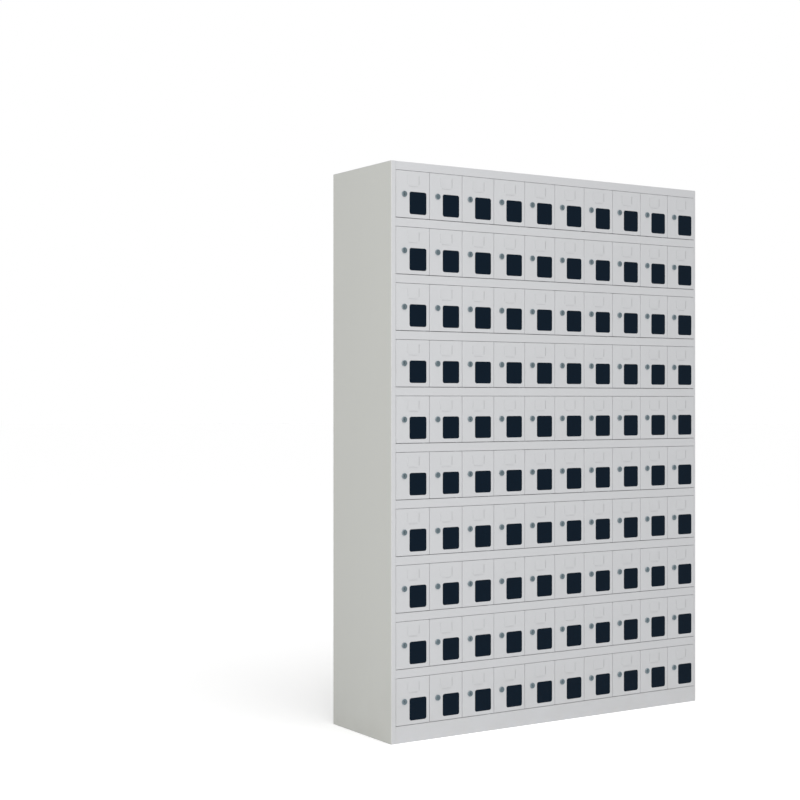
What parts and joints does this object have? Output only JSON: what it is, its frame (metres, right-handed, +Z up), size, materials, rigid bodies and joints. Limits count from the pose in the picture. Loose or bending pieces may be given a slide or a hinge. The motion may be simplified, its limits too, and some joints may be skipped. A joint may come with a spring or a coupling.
{
  "type": "phone locker cabinet",
  "caption": "Free-standing steel cabinet with a grid of small hinged doors, each with a tinted window, a card holder and a cam lock, for storing phones.",
  "frame": {"origin": "on the floor, in the middle of the width and of the whole depth", "axes": "+Z up, -Y towards the doors, +X to the right as seen from the front"},
  "size_m": [1.2, 0.3384, 1.7],
  "materials": {
    "grey_paint": "pale grey powder coat, fine texture, satin",
    "grey_paint_side": "the same powder coat, a little warmer",
    "grey_paint_inside": "the same powder coat inside the body",
    "tinted_acrylic": "dark navy tinted acrylic, polished",
    "lock_metal": "plated zinc die casting, slightly dulled",
    "plain_steel": "zinc plated steel"
  },
  "bodies": {
    "cabinet": {"left_side_panel": "grey_paint_side", "right_side_panel": "grey_paint_side", "top_panel": "grey_paint", "base_plinth": "grey_paint", "back_panel": "grey_paint_side", "front_rails": "grey_paint", "compartment_shelves": "grey_paint_inside", "compartment_dividers": "grey_paint_inside", "lock_strikes": "grey_paint_inside", "hinge_pins": "plain_steel"},
    "doors_column_01": {"door_panels_column_01": "grey_paint", "window_panes_column_01": "tinted_acrylic", "cam_locks_column_01": "lock_metal"},
    "doors_column_02": {"door_panels_column_02": "grey_paint", "window_panes_column_02": "tinted_acrylic", "cam_locks_column_02": "lock_metal"},
    "doors_column_03": {"door_panels_column_03": "grey_paint", "window_panes_column_03": "tinted_acrylic", "cam_locks_column_03": "lock_metal"},
    "doors_column_04": {"door_panels_column_04": "grey_paint", "window_panes_column_04": "tinted_acrylic", "cam_locks_column_04": "lock_metal"},
    "doors_column_05": {"door_panels_column_05": "grey_paint", "window_panes_column_05": "tinted_acrylic", "cam_locks_column_05": "lock_metal"},
    "doors_column_06": {"door_panels_column_06": "grey_paint", "window_panes_column_06": "tinted_acrylic", "cam_locks_column_06": "lock_metal"},
    "doors_column_07": {"door_panels_column_07": "grey_paint", "window_panes_column_07": "tinted_acrylic", "cam_locks_column_07": "lock_metal"},
    "doors_column_08": {"door_panels_column_08": "grey_paint", "window_panes_column_08": "tinted_acrylic", "cam_locks_column_08": "lock_metal"},
    "doors_column_09": {"door_panels_column_09": "grey_paint", "window_panes_column_09": "tinted_acrylic", "cam_locks_column_09": "lock_metal"},
    "doors_column_10": {"door_panels_column_10": "grey_paint", "window_panes_column_10": "tinted_acrylic", "cam_locks_column_10": "lock_metal"},
    "door_row_4_column_3": {"door_panel_row_4_column_3": "grey_paint", "window_pane_row_4_column_3": "tinted_acrylic", "lock_barrel_row_4_column_3": "lock_metal", "lock_nut_row_4_column_3": "plain_steel"},
    "plug_row_4_column_3": {"lock_plug_row_4_column_3": "lock_metal", "lock_cam_row_4_column_3": "plain_steel", "cam_screw_row_4_column_3": "plain_steel"},
    "door_row_7_column_8": {"door_panel_row_7_column_8": "grey_paint", "window_pane_row_7_column_8": "tinted_acrylic", "lock_barrel_row_7_column_8": "lock_metal", "lock_nut_row_7_column_8": "plain_steel"},
    "plug_row_7_column_8": {"lock_plug_row_7_column_8": "lock_metal", "lock_cam_row_7_column_8": "plain_steel", "cam_screw_row_7_column_8": "plain_steel"}
  },
  "joints": [
    {"name": "doors_column_01_hinge", "type": "hinge", "parent": "cabinet", "child": "doors_column_01", "pos_m": [-0.485, -0.16245, 0.85], "axis": [0, 0, 1], "range_deg": [0, 110]},
    {"name": "doors_column_02_hinge", "type": "hinge", "parent": "cabinet", "child": "doors_column_02", "pos_m": [-0.3674, -0.16245, 0.85], "axis": [0, 0, 1], "range_deg": [0, 110]},
    {"name": "doors_column_03_hinge", "type": "hinge", "parent": "cabinet", "child": "doors_column_03", "pos_m": [-0.2498, -0.16245, 0.85], "axis": [0, 0, 1], "range_deg": [0, 110]},
    {"name": "doors_column_04_hinge", "type": "hinge", "parent": "cabinet", "child": "doors_column_04", "pos_m": [-0.1322, -0.16245, 0.85], "axis": [0, 0, 1], "range_deg": [0, 110]},
    {"name": "doors_column_05_hinge", "type": "hinge", "parent": "cabinet", "child": "doors_column_05", "pos_m": [-0.0146, -0.16245, 0.85], "axis": [0, 0, 1], "range_deg": [0, 110]},
    {"name": "doors_column_06_hinge", "type": "hinge", "parent": "cabinet", "child": "doors_column_06", "pos_m": [0.103, -0.16245, 0.85], "axis": [0, 0, 1], "range_deg": [0, 110]},
    {"name": "doors_column_07_hinge", "type": "hinge", "parent": "cabinet", "child": "doors_column_07", "pos_m": [0.2206, -0.16245, 0.85], "axis": [0, 0, 1], "range_deg": [0, 110]},
    {"name": "doors_column_08_hinge", "type": "hinge", "parent": "cabinet", "child": "doors_column_08", "pos_m": [0.3382, -0.16245, 0.85], "axis": [0, 0, 1], "range_deg": [0, 110]},
    {"name": "doors_column_09_hinge", "type": "hinge", "parent": "cabinet", "child": "doors_column_09", "pos_m": [0.4558, -0.16245, 0.85], "axis": [0, 0, 1], "range_deg": [0, 110]},
    {"name": "doors_column_10_hinge", "type": "hinge", "parent": "cabinet", "child": "doors_column_10", "pos_m": [0.5734, -0.16245, 0.85], "axis": [0, 0, 1], "range_deg": [0, 110]},
    {"name": "door_row_4_column_3_hinge", "type": "hinge", "parent": "cabinet", "child": "door_row_4_column_3", "pos_m": [-0.2498, -0.16245, 1.11025], "axis": [0, 0, 1], "range_deg": [0, 110]},
    {"name": "plug_row_4_column_3_turn", "type": "hinge", "parent": "door_row_4_column_3", "child": "plug_row_4_column_3", "pos_m": [-0.32, -0.16675, 1.1104], "axis": [0, 1, 0], "range_deg": [0, 90]},
    {"name": "door_row_7_column_8_hinge", "type": "hinge", "parent": "cabinet", "child": "door_row_7_column_8", "pos_m": [0.3382, -0.16245, 0.61525], "axis": [0, 0, 1], "range_deg": [0, 110]},
    {"name": "plug_row_7_column_8_turn", "type": "hinge", "parent": "door_row_7_column_8", "child": "plug_row_7_column_8", "pos_m": [0.268, -0.16675, 0.6154], "axis": [0, 1, 0], "range_deg": [0, 90]}
  ]
}
